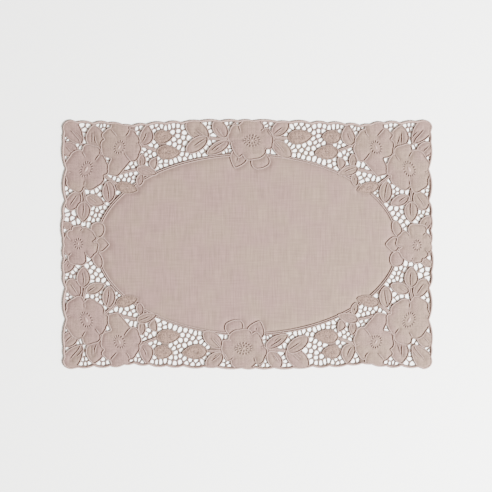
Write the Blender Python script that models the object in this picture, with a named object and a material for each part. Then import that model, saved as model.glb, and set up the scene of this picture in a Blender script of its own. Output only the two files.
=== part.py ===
"""A cutwork lace placemat: one flat cloth with a plain oval middle, a border of
flowers and leaves joined by a net of small bars, and a scalloped edge.

The mat lies on z = 0, with its middle on the Z axis, its long side along X and the
right side of the cloth facing up. The plan tables are in millimetres and are scaled
by MM where the mesh is made.
"""

import math

import bmesh
import bpy
import numpy as np
from mathutils.geometry import delaunay_2d_cdt
from mathutils.kdtree import KDTree

MM = 0.001

# Heights above the table, in millimetres
NET_HEIGHT = 1.1  # the bars of the net and the scalloped edge
CLOTH_HEIGHT = 1.6  # petals, leaves and the oval middle
RIB_HEIGHT = 2.0  # midribs of the leaves and hearts of the flowers

# The oval ring round the plain middle, measured to the middle of its cord
OVAL_HALF_LENGTH = 182.0
OVAL_HALF_WIDTH = 108.5
RING_HALF_WIDTH = 1.6

# Edge of the mat, as (place along the side, distance out, bulge of the scallop after it)
TOP_EDGE = (
    (-206.0, 148.5, 1.9),
    (-186.0, 147.0, 2.3),
    (-167.5, 147.4, 1.7),
    (-150.0, 145.2, 0.6),
    (-138.5, 144.2, 1.7),
    (-121.0, 145.6, 2.2),
    (-99.0, 147.3, 2.1),
    (-79.0, 147.7, 1.6),
    (-56.0, 149.9, 1.7),
    (-32.0, 149.6, 1.7),
    (-10.0, 149.9, 1.5),
    (7.0, 149.9, 1.8),
    (37.0, 149.0, 1.0),
    (52.0, 148.5, 2.4),
    (77.5, 147.3, 2.2),
    (98.0, 147.1, 2.3),
    (119.0, 145.5, 2.1),
    (137.0, 144.1, 1.1),
    (149.0, 145.6, 2.2),
    (166.0, 147.4, 2.3),
    (185.5, 147.1, 1.7),
    (204.0, 149.2, 0.0),
)
LEFT_EDGE = (
    (-136.0, 222.0, 0.8),
    (-124.0, 222.5, 2.4),
    (-91.0, 219.7, 3.7),
    (-53.0, 220.2, 1.8),
    (-35.0, 223.2, 1.4),
    (-17.0, 222.7, 1.4),
    (-1.0, 222.9, 0.6),
    (7.0, 223.4, 1.9),
    (33.5, 223.4, 2.1),
    (52.5, 220.3, 3.8),
    (91.0, 219.9, 2.5),
    (123.0, 223.2, 0.8),
    (135.0, 222.6, 0.0),
)
CORNER_CENTRE = (213.0, 141.2)
CORNER_REACH = (10.6, 9.6)
CORNER_TURN = (-6.0, 96.0)  # degrees round the corner, from the side to the top

# The net
NET_PITCH = 7.0  # from the middle of one hole to the next
BAR_WIDTH = 1.25
HOLE_TO_MOTIF = 0.65  # cloth left between a hole and the outline of a motif
EDGE_BAND = 3.2  # solid cloth left along the scalloped edge
SMALLEST_HOLE = 3.6  # smaller gaps are left closed
MOST_HOLES = 300
FIRST_SPACING = 0.8  # least distance between the first middles, as a share of the pitch
RELAX_STEPS = 12
NET_GRID = 0.6
OUTLINE_GRID = 0.4
RAY_STEPS = 40
RAY_TOUCH = 0.05
LEAST_REACH = 0.1
ROUNDING = 9.0  # higher leaves the corners of a hole sharper
NET_SEED = 5

# Groups of motifs repeat by mirroring or by a half turn, as (sign of x, sign of y)
CORNER_PLACES = ((-1, 1), (1, 1), (-1, -1), (1, -1))
TOP_PLACES = ((1, 1), (-1, -1))
SIDE_PLACES = ((-1, 1), (1, -1))

# Leaves, as (base x, base y, tip x, tip y, width, bend, base power, tip power, veined).
# A power of 1 makes a sharp end, 0.5 a round one, and less a blunt one. Bend moves the
# middle of the leaf to the left of the way from its base to its tip.
CORNER_LEAVES = (
    (128.0, 92.5, 127.0, 110.0, 9.5, 0.0, 0.8, 0.9, True),
    (113.0, 90.5, 109.5, 105.5, 10.0, -2.7, 0.7, 0.9, True),
    (128.0, 86.0, 131.5, 70.0, 9.0, 0.0, 0.8, 0.8, True),
    (134.0, 92.0, 108.5, 85.0, 11.5, 0.0, 0.6, 0.9, True),
    (205.0, 107.0, 223.0, 121.0, 17.5, 0.0, 0.6, 0.5, True),
    (199.5, 121.5, 220.5, 149.5, 21.0, 0.0, 0.75, 0.45, True),
    (182.0, 115.5, 186.0, 144.5, 22.5, 0.0, 0.75, 0.9, True),
    (126.0, 119.5, 121.0, 145.0, 16.5, 2.2, 0.6, 0.9, True),
    (113.0, 129.5, 90.0, 130.5, 16.0, 0.0, 0.55, 0.75, False),
    (110.0, 112.0, 81.0, 110.3, 17.0, 0.0, 0.6, 0.8, False),
    (159.0, 71.5, 132.0, 65.2, 13.5, 0.0, 0.6, 0.8, False),
    (167.5, 77.0, 167.0, 50.0, 15.5, 0.0, 0.75, 0.75, True),
    (195.5, 57.5, 172.5, 48.5, 13.0, 0.0, 0.7, 0.85, True),
    (203.0, 63.5, 216.5, 42.0, 17.0, 0.0, 0.6, 0.55, True),
    (198.0, 52.0, 198.0, 26.5, 16.5, 0.0, 0.65, 0.85, True),
)
TOP_LEAVES = (
    (-7.5, 113.0, -15.5, 92.0, 21.0, 0.0, 0.5, 1.0, True),
    (13.0, 110.5, 18.0, 91.8, 22.5, 0.0, 0.5, 0.35, True),
    (-19.0, 137.0, -14.0, 148.0, 4.5, 0.0, 1.0, 1.0, False),
    (-47.0, 127.5, -74.0, 148.0, 20.5, 0.0, 0.6, 0.6, True),
    (-48.0, 129.5, -74.0, 112.0, 16.0, 0.0, 0.6, 0.6, True),
    (-25.0, 129.5, -40.5, 149.0, 16.5, 0.0, 0.65, 0.6, True),
    (-22.0, 124.5, -49.5, 109.0, 13.0, 0.0, 0.6, 0.75, True),
    (30.0, 131.5, 50.0, 147.5, 16.5, 0.7, 0.6, 0.6, True),
    (30.0, 124.5, 53.5, 105.5, 16.5, 0.0, 0.7, 0.7, True),
    (48.5, 128.5, 79.5, 131.5, 17.5, 0.0, 0.6, 0.85, False),
)
SIDE_LEAVES = (
    (180.0, 8.0, 181.5, 27.0, 17.0, 0.0, 0.5, 0.4, False),
    (184.5, 0.0, 166.3, -0.2, 18.0, 0.0, 0.8, 1.3, False),
    (185.0, -8.0, 177.0, -29.0, 11.5, 0.0, 0.65, 0.65, False),
    (209.0, 18.0, 223.5, 26.0, 9.0, 0.0, 0.6, 0.6, False),
    (209.0, -16.5, 221.5, -34.5, 13.0, 0.0, 0.6, 0.65, True),
)
VEIN_SPAN = (0.25, 0.65)  # from and to, as shares of the leaf's length

# Stems, as points along the middle, with one width
CORNER_STEMS = (
    ((131.0, 121.0), (120.0, 117.0), (109.0, 113.0)),
    ((176.0, 86.0), (165.0, 77.5), (156.0, 71.0)),
    ((199.0, 70.0), (197.0, 58.0), (195.0, 46.0)),
    ((153.0, 86.0), (142.0, 89.0), (131.0, 91.0)),
)
TOP_STEMS = (
    ((-23.0, 128.0), (-37.0, 127.5), (-50.0, 129.5)),
    ((31.0, 128.5), (41.0, 128.5), (51.0, 128.8)),
)
STEM_WIDTH = 3.0

# Flowers, as (heart, petals). The petals go round in order, each as (from degree, to
# degree, reach, how far the notch after it lies from the heart, power of its rim). A
# power of 0.5 makes a full round petal, and 1 a slim one.
CORNER_FLOWERS = (
    (
        (155.0, 118.0),
        (
            (-43.0, 27.0, 22.7, 19.0, 0.5),
            (27.0, 66.0, 26.0, 24.5, 0.5),
            (66.0, 121.0, 31.5, 24.0, 0.5),
            (121.0, 171.0, 26.8, 24.0, 0.5),
            (171.0, 230.0, 27.3, 22.5, 0.5),
            (262.0, 303.0, 36.5, 16.5, 0.5),
        ),
    ),
    (
        (195.0, 91.0),
        (
            (-9.0, 78.5, 26.0, 22.0, 0.5),
            (78.5, 134.0, 31.0, 24.5, 0.5),
            (134.0, 160.0, 27.0, 25.6, 0.5),
            (160.0, 199.0, 27.5, 22.0, 0.5),
            (199.0, 275.0, 26.5, 21.0, 0.5),
            (275.0, 330.0, 31.0, 26.0, 0.5),
            (330.0, 351.0, 27.0, 24.0, 0.5),
        ),
    ),
)
TOP_FLOWERS = (
    (
        (5.0, 125.0),
        (
            (44.0, 130.0, 26.0, 24.0, 0.5),
            (130.0, 183.0, 30.0, 24.5, 0.5),
            (183.0, 210.0, 25.5, 24.0, 0.5),
            (210.0, 237.0, 26.0, 18.8, 0.5),
            (237.0, 322.0, 23.5, 22.5, 0.5),
            (322.0, 333.0, 21.5, 20.5, 0.5),
            (333.0, 370.0, 26.8, 26.3, 0.5),
            (370.0, 404.0, 26.0, 20.5, 0.5),
        ),
    ),
)
SIDE_FLOWERS = (
    (
        (203.0, 0.0),
        (
            (-47.0, 33.0, 20.5, 19.0, 0.5),
            (33.0, 63.0, 21.5, 18.5, 0.5),
            (63.0, 101.0, 23.5, 19.7, 0.5),
            (101.0, 126.0, 22.6, 21.5, 0.5),
            (126.0, 169.0, 22.6, 15.5, 0.5),
            (169.0, 214.0, 24.0, 21.3, 0.5),
            (214.0, 236.0, 22.8, 14.0, 0.5),
            (240.0, 313.0, 25.8, 19.0, 0.5),
        ),
    ),
)
PETAL_FLATNESS = 3.0  # higher makes the rim of a petal flatter
PETAL_DENT = 1.3  # depth of the shallow dent in the middle of a petal's rim
DENT_SHARE = 0.25

# Cords between petals, as points from the rim inwards
CORNER_CORDS = (
    ((199.4, 112.2), (195.3, 105.2)),
    ((178.3, 108.6), (183.7, 101.3)),
    ((196.8, 70.5), (196.3, 77.0)),
    ((219.0, 88.0), (214.0, 86.8)),
    ((165.2, 139.6), (157.2, 130.4)),
    ((142.4, 138.5), (143.3, 134.0), (147.0, 130.3)),
    ((131.2, 121.8), (134.8, 121.2)),
    ((140.7, 100.6), (144.6, 104.6), (148.6, 110.5)),
)
TOP_CORDS = (
    ((-10.5, 143.4), (-8.2, 136.2)),
    ((20.0, 139.6), (16.3, 136.7)),
    ((24.3, 138.0), (26.3, 134.5), (29.0, 131.6)),
    ((-19.5, 123.7), (-16.0, 123.9)),
    ((23.6, 114.4), (19.8, 116.4)),
)
SIDE_CORDS = (
    ((194.7, -15.0), (195.3, -11.5), (196.3, -9.0)),
    ((217.4, 15.3), (218.6, 10.4), (214.0, 5.5)),
    ((216.0, -14.0), (212.5, -10.5)),
    ((199.0, 19.0), (201.3, 15.6)),
)

# How many points draw each shape: fine ones place the net, coarse ones are modelled
FINE_LEAF_STEPS = 14
FINE_PETAL_STEPS = 12
COARSE_LEAF_STEPS = 6
COARSE_PETAL_STEPS = 5
OVAL_FINE_STEPS = 240
OVAL_COARSE_STEPS = 72
SCALLOP_STEPS = 3
CORNER_STEPS = 5
HOLE_DIRECTIONS = 24
HOLE_POINTS = 6
LARGE_HOLE_POINTS = 8
LARGE_HOLE = 6.2
RELIEF_SPACING = 1.9  # raised points closer than this to another are left out
WELD = 1e-5

CLOTH_COLOUR = (0.558, 0.462, 0.423, 1.0)
CLOTH_ROUGHNESS = 0.85


def leaf_middle(leaf, share):
    """Points of a leaf's middle line, at shares of the way from its base to its tip."""
    base_x, base_y, tip_x, tip_y, _, bend = leaf[:6]
    along = np.array((tip_x - base_x, tip_y - base_y))
    across = np.array((-along[1], along[0])) / np.linalg.norm(along)
    bow = bend * 4 * share * (1 - share)
    return (base_x, base_y) + share[:, None] * along + bow[:, None] * across, across


def leaf_outline(leaf, steps):
    """Closed outline of a leaf, from its base along one side to its tip and back."""
    width, _, base_power, tip_power = leaf[4:8]
    widest = base_power / (base_power + tip_power)
    share = np.arange(1, steps) / steps
    middle, across = leaf_middle(leaf, share)
    half = width / 2 * (share / widest) ** base_power * ((1 - share) / (1 - widest)) ** tip_power
    left = middle + half[:, None] * across
    right = middle - half[:, None] * across
    return np.vstack((leaf[0:2], left, leaf[2:4], right[::-1]))


def leaf_ribs(leaf):
    """The rib of a leaf that has veins."""
    return [leaf_middle(leaf, np.array(VEIN_SPAN))[0]] if leaf[8] else []


def flower_outline(flower, steps):
    """Closed outline of a flower: each petal's rim, with a notch after it."""
    heart, petals = flower
    rim = []
    for index, (start, end, reach, notch, power) in enumerate(petals):
        notch_before = petals[index - 1][3]
        for step in range(1, steps + 1):
            share = step / steps
            turn = 2 * share - 1
            foot = notch_before + (notch - notch_before) * share
            fullness = (1 - abs(turn) ** PETAL_FLATNESS) ** power
            dent = PETAL_DENT * math.exp(-((turn / DENT_SHARE) ** 2))
            radius = foot + (reach - foot) * fullness - dent
            angle = math.radians(start + (end - start) * share)
            rim.append((radius * math.cos(angle), radius * math.sin(angle)))
    return np.array(heart) + np.array(rim)


def stem_outline(points):
    """Closed outline of a stem of even width."""
    middle = np.array(points)
    slope = np.gradient(middle, axis=0)
    slope /= np.linalg.norm(slope, axis=1)[:, None]
    across = np.column_stack((-slope[:, 1], slope[:, 0])) * STEM_WIDTH / 2
    return np.vstack((middle + across, (middle - across)[::-1]))


def oval_outline(steps, outwards=0.0):
    """The oval ring's middle, or a line alongside it."""
    turn = np.linspace(0, 2 * np.pi, steps, endpoint=False)
    length, width = OVAL_HALF_LENGTH + outwards, OVAL_HALF_WIDTH + outwards
    return np.column_stack((length * np.cos(turn), width * np.sin(turn)))


def scallops(edge):
    """Points along one side, where each stretch between two dips bulges out."""
    points = []
    for (start, low, bulge), (end, high, _) in zip(edge, edge[1:]):
        for step in range(SCALLOP_STEPS):
            share = step / SCALLOP_STEPS
            out = low + (high - low) * share + bulge * 4 * share * (1 - share)
            points.append((start + (end - start) * share, out))
    points.append(edge[-1][:2])
    return points


def corner_arc(sign_x):
    """Round upper corner, from the side towards the top."""
    arc = []
    for step in range(CORNER_STEPS + 1):
        start, end = CORNER_TURN
        angle = math.radians(start + (end - start) * step / CORNER_STEPS)
        out_x = CORNER_CENTRE[0] + CORNER_REACH[0] * math.cos(angle)
        out_y = CORNER_CENTRE[1] + CORNER_REACH[1] * math.sin(angle)
        arc.append((sign_x * out_x, out_y))
    return arc


def mat_outline():
    """Scalloped outline of the mat. Its lower half is its upper half turned half round."""
    left = [(-out, place) for place, out in scallops(LEFT_EDGE)]
    upper = left + corner_arc(-1) + scallops(TOP_EDGE) + corner_arc(1)[::-1]
    half = np.array(upper)
    return np.vstack((half, -half))[::-1]


def placed(points, signs):
    return np.asarray(points) * np.array(signs)


def motifs(leaf_steps, petal_steps):
    """Every motif from the lowest layer to the highest, as (outline, ribs)."""
    groups = (
        (CORNER_PLACES, CORNER_LEAVES, CORNER_STEMS, CORNER_FLOWERS, CORNER_CORDS),
        (TOP_PLACES, TOP_LEAVES, TOP_STEMS, TOP_FLOWERS, TOP_CORDS),
        (SIDE_PLACES, SIDE_LEAVES, (), SIDE_FLOWERS, SIDE_CORDS),
    )
    made = []
    for places, leaves, stems, flowers, cords in groups:
        for signs in places:
            made += [(placed(stem_outline(stem), signs), []) for stem in stems]
            for leaf in leaves:
                ribs = [placed(rib, signs) for rib in leaf_ribs(leaf)]
                made.append((placed(leaf_outline(leaf, leaf_steps), signs), ribs))
            for flower in flowers:
                outline = placed(flower_outline(flower, petal_steps), signs)
                made.append((outline, [placed([flower[0]], signs)]))
            # The cords between petals belong to the last flower, so nothing hides them.
            made[-1][1].extend(placed(cord, signs) for cord in cords)
    return made


def inside(points, outline):
    """Which of the points lie inside a closed outline."""
    x, y = points[:, 0], points[:, 1]
    found = np.zeros(len(points), bool)
    for (x1, y1), (x2, y2) in zip(outline, np.roll(outline, -1, axis=0)):
        if y1 != y2:
            crossed = (y1 > y) != (y2 > y)
            found ^= crossed & (x < x1 + (y - y1) * (x2 - x1) / (y2 - y1))
    return found


def inside_any(points, outlines):
    """Which of the points lie inside one or more of the outlines."""
    found = np.zeros(len(points), bool)
    for outline in outlines:
        low, high = outline.min(0), outline.max(0)
        near = np.flatnonzero(((points >= low) & (points <= high)).all(1) & ~found)
        found[near] = inside(points[near], outline)
    return found


def spaced(outline):
    """Closely spaced points all along a closed outline."""
    found = []
    for start, end in zip(outline, np.roll(outline, -1, axis=0)):
        count = max(1, math.ceil(np.linalg.norm(end - start) / OUTLINE_GRID))
        found += [start + (end - start) * part / count for part in range(count)]
    return np.array(found)


def tree_of(points):
    tree = KDTree(len(points))
    for index, (x, y) in enumerate(points):
        tree.insert((x, y, 0), index)
    tree.balance()
    return tree


class NetRoom:
    """The room between the motifs, where the net may have holes."""

    def __init__(self, edge):
        solid = [outline for outline, _ in motifs(FINE_LEAF_STEPS, FINE_PETAL_STEPS)]
        self.solid = solid + [oval_outline(OVAL_FINE_STEPS, RING_HALF_WIDTH)]
        self.edge = edge
        self.near_solid = tree_of(np.vstack([spaced(one) for one in self.solid]))
        self.near_edge = tree_of(spaced(edge))

    def clearance(self, x, y):
        """How far a point in the room is from where the cloth has to begin."""
        to_solid = self.near_solid.find((x, y, 0))[2] - HOLE_TO_MOTIF
        to_edge = self.near_edge.find((x, y, 0))[2] - EDGE_BAND
        return min(to_solid, to_edge)

    def cells(self):
        """Grid points of the room's left half, the other half being the same turned."""
        left, low = self.edge.min(0)
        across = np.arange(left, 0, NET_GRID)
        up = np.arange(low, -low, NET_GRID)
        grid = np.stack(np.meshgrid(across, up), axis=-1).reshape(-1, 2)
        grid = grid[inside(grid, self.edge)]
        grid = grid[~inside_any(grid, self.solid)]
        return np.array([cell for cell in grid if self.clearance(*cell) > 0])


def net_middles(room):
    """Middles of the holes: scattered a pitch apart, then evened out."""
    cells = room.cells()
    order = np.random.default_rng(NET_SEED).permutation(len(cells))
    middles = []
    taken = np.zeros(len(cells), bool)
    for index in order:
        if not taken[index]:
            middles.append(cells[index])
            away = np.linalg.norm(cells - cells[index], axis=1)
            taken |= away < FIRST_SPACING * NET_PITCH
    middles = np.array(middles)
    for _ in range(RELAX_STEPS):
        tree = tree_of(middles)
        owner = np.array([tree.find((x, y, 0))[1] for x, y in cells])
        count = np.bincount(owner, minlength=len(middles))
        sums = [np.bincount(owner, cells[:, axis], len(middles)) for axis in (0, 1)]
        used = count > 0
        middles = np.column_stack(sums)[used] / count[used, None]
    return middles


def reach_towards(room, middle, direction):
    """How far a ray runs from the middle of a hole before it meets cloth."""
    travelled = 0.0
    for _ in range(RAY_STEPS):
        x, y = middle + travelled * direction
        room_left = room.clearance(x, y)
        if room_left < RAY_TOUCH or travelled > NET_PITCH:
            break
        travelled += room_left
    return travelled


def hole_outline(room, middle, others):
    """Rounded outline of one hole, held off by its neighbours' bars and by the motifs."""
    gaps = others - middle
    far = np.linalg.norm(gaps, axis=1)
    near = (far > 0) & (far < 3 * NET_PITCH)
    gaps, far = gaps[near], far[near]
    points = []
    for turn in range(HOLE_DIRECTIONS):
        angle = 2 * math.pi * turn / HOLE_DIRECTIONS
        direction = np.array((math.cos(angle), math.sin(angle)))
        facing = gaps @ direction / far
        ahead = facing > 0
        to_bars = (far[ahead] - BAR_WIDTH) / 2 / facing[ahead]
        limits = np.append(to_bars, reach_towards(room, middle, direction))
        limits = np.maximum(limits, LEAST_REACH)
        radius = (limits**-ROUNDING).sum() ** (-1 / ROUNDING)
        points.append(middle + radius * direction)
    return np.array(points)


def narrowest(outline):
    """The least width of a hole, across the middle of its outline."""
    return np.linalg.norm(outline - np.roll(outline, len(outline) // 2, axis=0), axis=1).min()


def net_holes(edge):
    """Outlines of the holes over the smallest size, up to the most that are cut."""
    room = NetRoom(edge)
    middles = net_middles(room)
    left = [hole_outline(room, middle, middles) for middle in middles]
    left = sorted(left, key=narrowest, reverse=True)
    left = [hole for hole in left if narrowest(hole) >= SMALLEST_HOLE][: MOST_HOLES // 2]
    holes = []
    for hole in left:
        count = LARGE_HOLE_POINTS if narrowest(hole) > LARGE_HOLE else HOLE_POINTS
        outline = hole[:: HOLE_DIRECTIONS // count]
        holes += [outline, -outline]
    return holes


def runs_in_sight(outline, hidden):
    """The stretches of a closed outline between its hidden points."""
    runs = [[]]
    for point, out_of_sight in zip([*outline, outline[0]], [*hidden, hidden[0]]):
        if out_of_sight:
            runs.append([])
        else:
            runs[-1].append(point)
    return [run for run in runs if run]


def relief_lines(edge):
    """Raised lines as (height, points): ribs and hearts first, then the outlines."""
    shapes = [(oval_outline(OVAL_COARSE_STEPS), [])]
    shapes += motifs(COARSE_LEAF_STEPS, COARSE_PETAL_STEPS)
    ribs_in_sight = []
    outlines_in_sight = []
    for index, (outline, ribs) in enumerate(shapes):
        above = [higher for higher, _ in shapes[index + 1 :]]
        for rib in ribs:
            if not inside_any(rib, above).any():
                ribs_in_sight.append((RIB_HEIGHT, rib))
        hidden = inside_any(outline, above) | ~inside(outline, edge)
        for run in runs_in_sight(outline, hidden):
            outlines_in_sight.append((CLOTH_HEIGHT, run))
    return ribs_in_sight + outlines_in_sight


def thinned(lines, keep_off):
    """The lines, broken where a point crowds a hole, the edge or a point already kept."""
    kept = list(keep_off)
    thin_lines = []
    for height, line in lines:
        run = []
        for point in line:
            if np.linalg.norm(np.array(kept) - point, axis=1).min() > RELIEF_SPACING:
                run.append(point)
                kept.append(point)
            else:
                thin_lines.append((height, run))
                run = []
        thin_lines.append((height, run))
    return thin_lines


def plan_of_mat():
    """Points of the mat as (x, y, height), and the triangles that join them."""
    edge = mat_outline()
    loops = [edge, *net_holes(edge)]
    points, lines = [], []
    for loop in loops:
        first = len(points)
        points += [(x, y, NET_HEIGHT) for x, y in loop]
        lines += [(first + i, first + (i + 1) % len(loop)) for i in range(len(loop))]
    for height, run in thinned(relief_lines(edge), np.vstack(loops)):
        first = len(points)
        points += [(x, y, height) for x, y in run]
        lines += [(first + i, first + i + 1) for i in range(len(run) - 1)]
    plan = [point[:2] for point in points]
    flat, _, faces, sources, _, _ = delaunay_2d_cdt(plan, lines, [], 0, WELD)
    # A point that has no source lies where two outlines cross.
    heights = [points[source[0]][2] if source else CLOTH_HEIGHT for source in sources]
    found = [(x, y, height) for (x, y), height in zip(flat, heights)]
    middles = np.array([np.mean([found[corner][:2] for corner in face], axis=0) for face in faces])
    cloth = inside(middles, edge) & ~inside_any(middles, loops[1:])
    return found, [face for face, kept in zip(faces, cloth) if kept]


def build_mat():
    """The whole mat as one closed solid: its plan, extruded up to the height of each point."""
    points, faces = plan_of_mat()
    mesh = bmesh.new()
    height_of = mesh.verts.layers.float.new("height")
    for x, y, height in points:
        mesh.verts.new((x * MM, y * MM, 0))[height_of] = height * MM
    mesh.verts.ensure_lookup_table()
    for face in faces:
        mesh.faces.new([mesh.verts[corner] for corner in face])
    bmesh.ops.delete(mesh, geom=[one for one in mesh.verts if not one.link_faces], context="VERTS")
    raised = bmesh.ops.extrude_face_region(mesh, geom=mesh.faces[:])["geom"]
    for vertex in raised:
        if isinstance(vertex, bmesh.types.BMVert):
            vertex.co.z = vertex[height_of]
    bmesh.ops.recalc_face_normals(mesh, faces=mesh.faces)
    data = bpy.data.meshes.new("lace_mat")
    mesh.to_mesh(data)
    mesh.free()
    mat = bpy.data.objects.new("lace_mat", data)
    mat.data.materials.append(cloth_material())
    bpy.context.collection.objects.link(mat)


def cloth_material():
    material = bpy.data.materials.new("taupe_cloth")
    material.use_nodes = True
    shader = material.node_tree.nodes["Principled BSDF"]
    shader.inputs["Base Color"].default_value = CLOTH_COLOUR
    shader.inputs["Roughness"].default_value = CLOTH_ROUGHNESS
    shader.inputs["Metallic"].default_value = 0.0
    return material


for old in list(bpy.data.objects):
    bpy.data.objects.remove(old)
build_mat()
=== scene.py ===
"""A cutwork lace placemat dressed for its picture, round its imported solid.

The sections follow the mat as it is made: the sheet of cloth with its net, then the
cords worked over it, the hearts of the flowers and the scalloped edge. The plan tables
are in millimetres, with the mat's middle at 0, 0, and are scaled by MM where a mesh is
made.
"""

import math

import bpy
import numpy as np
from mathutils import Matrix, Vector, noise
from mathutils.geometry import delaunay_2d_cdt
from mathutils.kdtree import KDTree


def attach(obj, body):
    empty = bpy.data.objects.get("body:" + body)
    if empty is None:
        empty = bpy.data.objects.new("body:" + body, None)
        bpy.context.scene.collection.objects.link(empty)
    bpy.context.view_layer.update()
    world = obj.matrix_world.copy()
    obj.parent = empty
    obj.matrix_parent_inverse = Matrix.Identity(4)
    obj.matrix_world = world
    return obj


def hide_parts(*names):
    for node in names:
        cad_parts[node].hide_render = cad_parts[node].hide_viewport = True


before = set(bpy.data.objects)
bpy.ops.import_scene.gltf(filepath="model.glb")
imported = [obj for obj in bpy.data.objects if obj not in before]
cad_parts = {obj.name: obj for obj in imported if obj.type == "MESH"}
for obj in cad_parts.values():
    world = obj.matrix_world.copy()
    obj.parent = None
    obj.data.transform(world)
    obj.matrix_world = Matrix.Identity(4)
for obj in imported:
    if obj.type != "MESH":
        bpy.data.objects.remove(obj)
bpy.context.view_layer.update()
bpy.ops.object.select_all(action="DESELECT")

# The cloth. The real mat is one sheet of fine taupe cotton, worked all over and then cut
# away between the motifs, where thin worked bars hold it together. It is one mesh: a top
# that dips beside every cord, rounded walls round every gap of the net, and a flat back.
MM = 0.001

# The plain oval in the middle, measured to the middle of the double cord round it
OVAL_HALF_LENGTH = 182.0
OVAL_HALF_WIDTH = 108.5
RING_HALF_WIDTH = 1.6

# Edge of the mat, as (place along the side, distance out, bulge of the scallop after it)
TOP_EDGE = (
    (-206.0, 148.5, 1.9),
    (-186.0, 147.0, 2.3),
    (-167.5, 147.4, 1.7),
    (-150.0, 145.2, 0.6),
    (-138.5, 144.2, 1.7),
    (-121.0, 145.6, 2.2),
    (-99.0, 147.3, 2.1),
    (-79.0, 147.7, 1.6),
    (-56.0, 149.9, 1.7),
    (-32.0, 149.6, 1.7),
    (-10.0, 149.9, 1.5),
    (7.0, 149.9, 1.8),
    (37.0, 149.0, 1.0),
    (52.0, 148.5, 2.4),
    (77.5, 147.3, 2.2),
    (98.0, 147.1, 2.3),
    (119.0, 145.5, 2.1),
    (137.0, 144.1, 1.1),
    (149.0, 145.6, 2.2),
    (166.0, 147.4, 2.3),
    (185.5, 147.1, 1.7),
    (204.0, 149.2, 0.0),
)
LEFT_EDGE = (
    (-136.0, 222.0, 0.8),
    (-124.0, 222.5, 2.4),
    (-91.0, 219.7, 3.7),
    (-53.0, 220.2, 1.8),
    (-35.0, 223.2, 1.4),
    (-17.0, 222.7, 1.4),
    (-1.0, 222.9, 0.6),
    (7.0, 223.4, 1.9),
    (33.5, 223.4, 2.1),
    (52.5, 220.3, 3.8),
    (91.0, 219.9, 2.5),
    (123.0, 223.2, 0.8),
    (135.0, 222.6, 0.0),
)
CORNER_CENTRE = (213.0, 141.2)
CORNER_REACH = (10.6, 9.6)
CORNER_TURN = (-6.0, 96.0)  # degrees round the corner, from the side to the top

# Groups of motifs repeat by mirroring or by a half turn, as (sign of x, sign of y)
CORNER_PLACES = ((-1, 1), (1, 1), (-1, -1), (1, -1))
TOP_PLACES = ((1, 1), (-1, -1))
SIDE_PLACES = ((-1, 1), (1, -1))

# Leaves, as (base x, base y, tip x, tip y, width, bend, base power, tip power, finish).
# A power of 1 makes a sharp end, 0.5 a round one, and less a blunt one. Bend moves the
# middle of the leaf to the left of the way from its base to its tip.
CORNER_LEAVES = (
    (128.0, 92.5, 127.0, 110.0, 9.5, 0.0, 0.8, 0.9, "plain"),
    (113.0, 90.5, 109.5, 105.5, 10.0, -2.7, 0.7, 0.9, "plain"),
    (128.0, 86.0, 131.5, 70.0, 9.0, 0.0, 0.8, 0.8, "plain"),
    (134.0, 92.0, 108.5, 85.0, 11.5, 0.0, 0.6, 0.9, "plain"),
    (205.0, 107.0, 223.0, 121.0, 17.5, 0.0, 0.6, 0.5, "plain"),
    (199.5, 121.5, 220.5, 149.5, 21.0, 0.0, 0.75, 0.45, "plain"),
    (182.0, 115.5, 186.0, 144.5, 22.5, 0.0, 0.75, 0.9, "plain"),
    (126.0, 119.5, 121.0, 145.0, 16.5, 2.2, 0.6, 0.9, "plain"),
    (113.0, 129.5, 90.0, 130.5, 16.0, 0.0, 0.55, 0.75, "stitched"),
    (110.0, 112.0, 81.0, 110.3, 17.0, 0.0, 0.6, 0.8, "stitched"),
    (159.0, 71.5, 132.0, 65.2, 13.5, 0.0, 0.6, 0.8, "stitched"),
    (167.5, 77.0, 167.0, 50.0, 15.5, 0.0, 0.75, 0.75, "plain"),
    (195.5, 57.5, 172.5, 48.5, 13.0, 0.0, 0.7, 0.85, "plain"),
    (203.0, 63.5, 216.5, 42.0, 17.0, 0.0, 0.6, 0.55, "plain"),
    (198.0, 52.0, 198.0, 26.5, 16.5, 0.0, 0.65, 0.85, "plain"),
)
TOP_LEAVES = (
    (-7.5, 113.0, -15.5, 92.0, 21.0, 0.0, 0.5, 1.0, "plain"),
    (13.0, 110.5, 18.0, 91.8, 22.5, 0.0, 0.5, 0.35, "plain"),
    (-19.0, 137.0, -14.0, 148.0, 4.5, 0.0, 1.0, 1.0, "plain"),
    (-47.0, 127.5, -74.0, 148.0, 20.5, 0.0, 0.6, 0.6, "plain"),
    (-48.0, 129.5, -74.0, 112.0, 16.0, 0.0, 0.6, 0.6, "plain"),
    (-25.0, 129.5, -40.5, 149.0, 16.5, 0.0, 0.65, 0.6, "plain"),
    (-22.0, 124.5, -49.5, 109.0, 13.0, 0.0, 0.6, 0.75, "plain"),
    (30.0, 131.5, 50.0, 147.5, 16.5, 0.7, 0.6, 0.6, "plain"),
    (30.0, 124.5, 53.5, 105.5, 16.5, 0.0, 0.7, 0.7, "plain"),
    (48.5, 128.5, 79.5, 131.5, 17.5, 0.0, 0.6, 0.85, "stitched"),
)
SIDE_LEAVES = (
    (180.0, 8.0, 181.5, 27.0, 17.0, 0.0, 0.5, 0.4, "plain"),
    (184.5, 0.0, 166.3, -0.2, 18.0, 0.0, 0.8, 1.3, "plain"),
    (185.0, -8.0, 177.0, -29.0, 11.5, 0.0, 0.65, 0.65, "plain"),
    (209.0, 18.0, 223.5, 26.0, 9.0, 0.0, 0.6, 0.6, "plain"),
    (209.0, -16.5, 221.5, -34.5, 13.0, 0.0, 0.6, 0.65, "plain"),
)

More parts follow.
